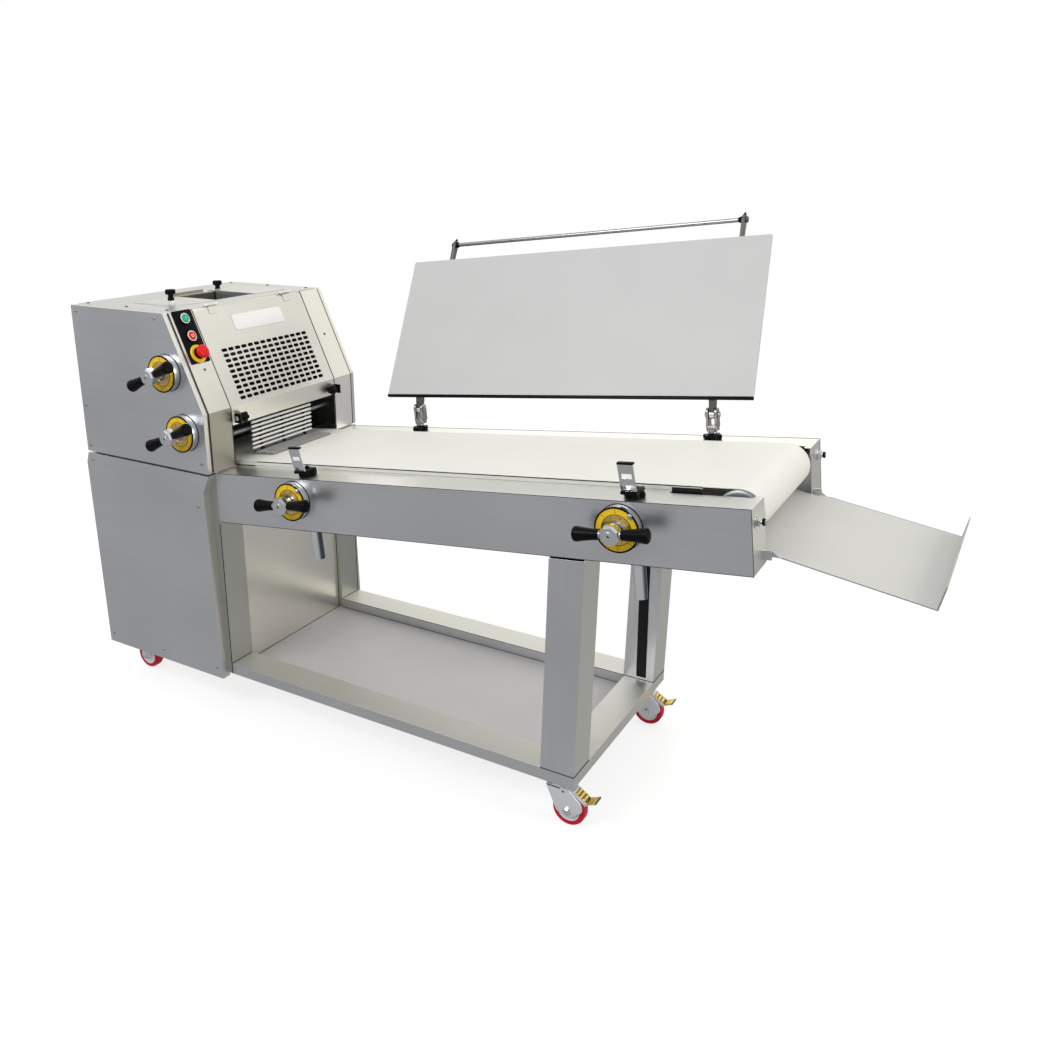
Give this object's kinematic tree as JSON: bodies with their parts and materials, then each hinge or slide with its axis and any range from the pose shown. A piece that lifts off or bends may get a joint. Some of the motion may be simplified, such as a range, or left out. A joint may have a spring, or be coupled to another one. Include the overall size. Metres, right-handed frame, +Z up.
{
  "type": "dough moulder",
  "caption": "Bakery dough moulder on castors: sheeting head with guarded rollers, inclined belt conveyor, hinged press board, gap-adjusting levers and catch tray.",
  "frame": {"origin": "floor level under the middle of the machine's length, on its mid-plane", "axes": "+X along the dough's travel towards the catch tray, +Y away from the operator, +Z up"},
  "size_m": [2.7505, 1.1069, 1.662],
  "materials": {
    "stainless": "brushed stainless sheet",
    "stainless_warm": "brushed stainless sheet, lit from the front",
    "bright_steel": "turned and polished steel",
    "zinc": "zinc plated pressing",
    "inner_steel": "plain steel",
    "belt": "cream food belt",
    "board": "light grey plastic board",
    "roller_plastic": "white food-grade plastic",
    "lagging": "rubber lagging",
    "black": "black moulded plastic",
    "dial": "aluminium housing with a yellow ring",
    "green": "green push button",
    "red": "red push button",
    "tyre_red": "red polyurethane tyre on a grey hub",
    "pedal": "yellow chromated pedal",
    "motor": "cast aluminium housing",
    "iron": "oiled roller chain and sprockets"
  },
  "bodies": {
    "frame": {"base_rails": "stainless", "frame_posts": "stainless", "shelf_panel": "stainless", "cabinet_side_covers": "stainless", "cabinet_panels": "stainless_warm", "cable_gland": "black", "head_frame": "inner_steel", "head_side_covers": "stainless", "head_top_panel": "stainless_warm", "head_front_strips": "stainless_warm", "control_panel": "black", "conveyor_rails": "stainless", "conveyor_bed": "inner_steel", "conveyor_belt": "belt", "belt_tensioners": "bright_steel", "index_dials": "dial", "gearmotor": "motor", "drive_chains": "iron", "roller_bearings": "iron", "castor_plates": "zinc", "guide_tubes": "bright_steel", "post_star_nuts": "black"},
    "board_carriage": {"board_posts": "bright_steel", "catch_straps": "bright_steel"},
    "board": {"press_board": "board", "handle_rod": "bright_steel"},
    "upper_slide": {"upper_slide_blocks": "inner_steel"},
    "lower_slide": {"lower_slide_blocks": "inner_steel"},
    "start_button": {"start_button": "green"},
    "stop_button": {"stop_button": "red"},
    "emergency_stop": {"emergency_stop": "red"},
    "front_guard": {"front_guard": "stainless_warm"},
    "guard_knob_near": {"guard_knob_near": "black"},
    "guard_knob_far": {"guard_knob_far": "black"},
    "infeed_guide_near": {"infeed_guide_near": "stainless"},
    "infeed_guide_far": {"infeed_guide_far": "stainless"},
    "guide_knob_near": {"guide_knob_near": "black"},
    "guide_knob_far": {"guide_knob_far": "black"},
    "tail_roller": {"tail_roller": "lagging"},
    "drive_drum": {"drive_drum": "lagging"},
    "conveyor_lever_left": {"conveyor_lever_left": "black"},
    "conveyor_lever_right": {"conveyor_lever_right": "black"},
    "head_lever_upper": {"head_lever_upper": "black"},
    "head_lever_lower": {"head_lever_lower": "black"},
    "upper_fixed_roller": {"upper_fixed_roller": "roller_plastic"},
    "upper_moving_roller": {"upper_moving_roller": "roller_plastic"},
    "lower_fixed_roller": {"lower_fixed_roller": "roller_plastic"},
    "lower_moving_roller": {"lower_moving_roller": "roller_plastic"},
    "motor_sprocket": {"motor_sprocket": "iron"},
    "castor_fork_near": {"castor_fork_near": "zinc"},
    "castor_fork_far": {"castor_fork_far": "zinc"},
    "brake_pedal_near": {"brake_pedal_near": "pedal"},
    "brake_pedal_far": {"brake_pedal_far": "pedal"},
    "castor_wheel_near": {"castor_wheel_near": "tyre_red"},
    "castor_wheel_far": {"castor_wheel_far": "tyre_red"},
    "rear_wheel_near": {"rear_wheel_near": "tyre_red"},
    "rear_wheel_far": {"rear_wheel_far": "tyre_red"},
    "curling_mat": {"curling_mat": "roller_plastic"},
    "catch_tray": {"catch_tray": "board"}
  },
  "joints": [
    {"name": "board_carriage_slide", "type": "slide", "parent": "frame", "child": "board_carriage", "axis": [-0.1045, 0, 0.9945], "range_m": [0, 0.03]},
    {"name": "board_turn", "type": "hinge", "parent": "board_carriage", "child": "board", "pos_m": [0.10362, 0.318, 1.03008], "axis": [0.9945, 0, 0.1045], "range_deg": [0, 120.5]},
    {"name": "conveyor_lever_left_turn", "type": "hinge", "parent": "frame", "child": "conveyor_lever_left", "pos_m": [-0.44603, -0.35, 0.83053], "axis": [0, 1, 0], "range_deg": [0, 300]},
    {"name": "conveyor_lever_right_turn", "type": "hinge", "parent": "frame", "child": "conveyor_lever_right", "pos_m": [0.62706, -0.35, 0.94332], "axis": [0, 1, 0], "range_deg": [0, 300]},
    {"name": "upper_slide_slide", "type": "slide", "parent": "frame", "child": "upper_slide", "axis": [1, 0, 0], "range_m": [0, 0.02]},
    {"name": "head_lever_upper_turn", "type": "hinge", "parent": "frame", "child": "head_lever_upper", "pos_m": [-0.925, -0.35, 1.188], "axis": [0, 1, 0], "range_deg": [0, 300]},
    {"name": "upper_fixed_roller_turn", "type": "hinge", "parent": "frame", "child": "upper_fixed_roller", "pos_m": [-1.114, 0, 1.188], "axis": [0, 1, 0], "continuous": true},
    {"name": "upper_moving_roller_turn", "type": "hinge", "parent": "upper_slide", "child": "upper_moving_roller", "pos_m": [-0.994, 0, 1.188], "axis": [0, 1, 0], "continuous": true},
    {"name": "lower_slide_slide", "type": "slide", "parent": "frame", "child": "lower_slide", "axis": [1, 0, 0], "range_m": [0, 0.02]},
    {"name": "head_lever_lower_turn", "type": "hinge", "parent": "frame", "child": "head_lever_lower", "pos_m": [-0.867, -0.35, 0.997], "axis": [0, 1, 0], "range_deg": [0, 300]},
    {"name": "lower_fixed_roller_turn", "type": "hinge", "parent": "frame", "child": "lower_fixed_roller", "pos_m": [-1.054, 0, 1], "axis": [0, 1, 0], "continuous": true},
    {"name": "lower_moving_roller_turn", "type": "hinge", "parent": "lower_slide", "child": "lower_moving_roller", "pos_m": [-0.934, 0, 1], "axis": [0, 1, 0], "continuous": true},
    {"name": "drive_drum_turn", "type": "hinge", "parent": "frame", "child": "drive_drum", "pos_m": [-1.05985, 0, 0.78713], "axis": [0, 1, 0], "continuous": true},
    {"name": "tail_roller_turn", "type": "hinge", "parent": "frame", "child": "tail_roller", "pos_m": [0.8914, 0, 0.99222], "axis": [0, 1, 0], "continuous": true},
    {"name": "motor_sprocket_turn", "type": "hinge", "parent": "frame", "child": "motor_sprocket", "pos_m": [-1.06, 0, 0.43], "axis": [0, 1, 0], "continuous": true},
    {"name": "front_guard_turn", "type": "hinge", "parent": "frame", "child": "front_guard", "pos_m": [-0.917, 0, 1.3815], "axis": [0, -1, 0], "range_deg": [0, 75]},
    {"name": "guard_knob_near_turn", "type": "hinge", "parent": "front_guard", "child": "guard_knob_near", "pos_m": [-0.757, -0.252, 1.03], "axis": [0, 1, 0], "continuous": true},
    {"name": "guard_knob_far_turn", "type": "hinge", "parent": "front_guard", "child": "guard_knob_far", "pos_m": [-0.757, 0.252, 1.03], "axis": [0, 1, 0], "continuous": true},
    {"name": "infeed_guide_near_slide", "type": "slide", "parent": "frame", "child": "infeed_guide_near", "axis": [0, 1, 0], "range_m": [0, 0.05]},
    {"name": "guide_knob_near_turn", "type": "hinge", "parent": "infeed_guide_near", "child": "guide_knob_near", "pos_m": [-1.049, -0.228, 1.38], "axis": [0, 0, 1], "continuous": true},
    {"name": "infeed_guide_far_slide", "type": "slide", "parent": "frame", "child": "infeed_guide_far", "axis": [0, 1, 0], "range_m": [-0.05, 0]},
    {"name": "guide_knob_far_turn", "type": "hinge", "parent": "infeed_guide_far", "child": "guide_knob_far", "pos_m": [-1.209, 0.14, 1.38], "axis": [0, 0, 1], "continuous": true},
    {"name": "start_button_slide", "type": "slide", "parent": "frame", "child": "start_button", "axis": [-0.9095, 0, -0.4158], "range_m": [0, 0.004], "stiffness_N_per_m": 500, "springref_m": -0.003},
    {"name": "stop_button_slide", "type": "slide", "parent": "frame", "child": "stop_button", "axis": [-0.9095, 0, -0.4158], "range_m": [0, 0.004], "stiffness_N_per_m": 500, "springref_m": -0.003},
    {"name": "emergency_stop_slide", "type": "slide", "parent": "frame", "child": "emergency_stop", "axis": [-0.9095, 0, -0.4158], "range_m": [0, 0.005], "stiffness_N_per_m": 900, "springref_m": -0.003},
    {"name": "castor_fork_near_turn", "type": "hinge", "parent": "frame", "child": "castor_fork_near", "pos_m": [0.448, -0.303, 0.122], "axis": [0, 0, 1], "continuous": true},
    {"name": "castor_wheel_near_turn", "type": "hinge", "parent": "castor_fork_near", "child": "castor_wheel_near", "pos_m": [0.483, -0.303, 0.05], "axis": [0, 1, 0], "continuous": true},
    {"name": "brake_pedal_near_turn", "type": "hinge", "parent": "castor_fork_near", "child": "brake_pedal_near", "pos_m": [0.47, -0.303, 0.11], "axis": [0, -1, 0], "range_deg": [0, 12]},
    {"name": "rear_wheel_near_turn", "type": "hinge", "parent": "frame", "child": "rear_wheel_near", "pos_m": [-1.289, -0.271, 0.05], "axis": [0, 1, 0], "continuous": true},
    {"name": "castor_fork_far_turn", "type": "hinge", "parent": "frame", "child": "castor_fork_far", "pos_m": [0.448, 0.303, 0.122], "axis": [0, 0, 1], "continuous": true},
    {"name": "castor_wheel_far_turn", "type": "hinge", "parent": "castor_fork_far", "child": "castor_wheel_far", "pos_m": [0.483, 0.303, 0.05], "axis": [0, 1, 0], "continuous": true},
    {"name": "brake_pedal_far_turn", "type": "hinge", "parent": "castor_fork_far", "child": "brake_pedal_far", "pos_m": [0.47, 0.303, 0.11], "axis": [0, -1, 0], "range_deg": [0, 12]},
    {"name": "rear_wheel_far_turn", "type": "hinge", "parent": "frame", "child": "rear_wheel_far", "pos_m": [-1.289, 0.271, 0.05], "axis": [0, 1, 0], "continuous": true},
    {"name": "curling_mat_turn", "type": "hinge", "parent": "frame", "child": "curling_mat", "pos_m": [-0.808, 0, 1], "axis": [0, -1, 0], "range_deg": [0, 40]},
    {"name": "catch_tray_turn", "type": "hinge", "parent": "frame", "child": "catch_tray", "pos_m": [0.9745, 0, 0.90945], "axis": [0, -1, 0], "range_deg": [0, 70]}
  ],
  "couplings": [
    {"joint": "conveyor_lever_left_turn", "follows": "board_carriage_slide", "rad_per_m": 174.36},
    {"joint": "conveyor_lever_right_turn", "follows": "board_carriage_slide", "rad_per_m": 174.36},
    {"joint": "head_lever_upper_turn", "follows": "upper_slide_slide", "rad_per_m": 261.54},
    {"joint": "upper_fixed_roller_turn", "follows": "drive_drum_turn", "ratio": 1},
    {"joint": "upper_moving_roller_turn", "follows": "drive_drum_turn", "ratio": -1},
    {"joint": "head_lever_lower_turn", "follows": "lower_slide_slide", "rad_per_m": 261.54},
    {"joint": "lower_fixed_roller_turn", "follows": "drive_drum_turn", "ratio": 1},
    {"joint": "lower_moving_roller_turn", "follows": "drive_drum_turn", "ratio": -1},
    {"joint": "tail_roller_turn", "follows": "drive_drum_turn", "ratio": 1},
    {"joint": "motor_sprocket_turn", "follows": "drive_drum_turn", "ratio": 1}
  ]
}
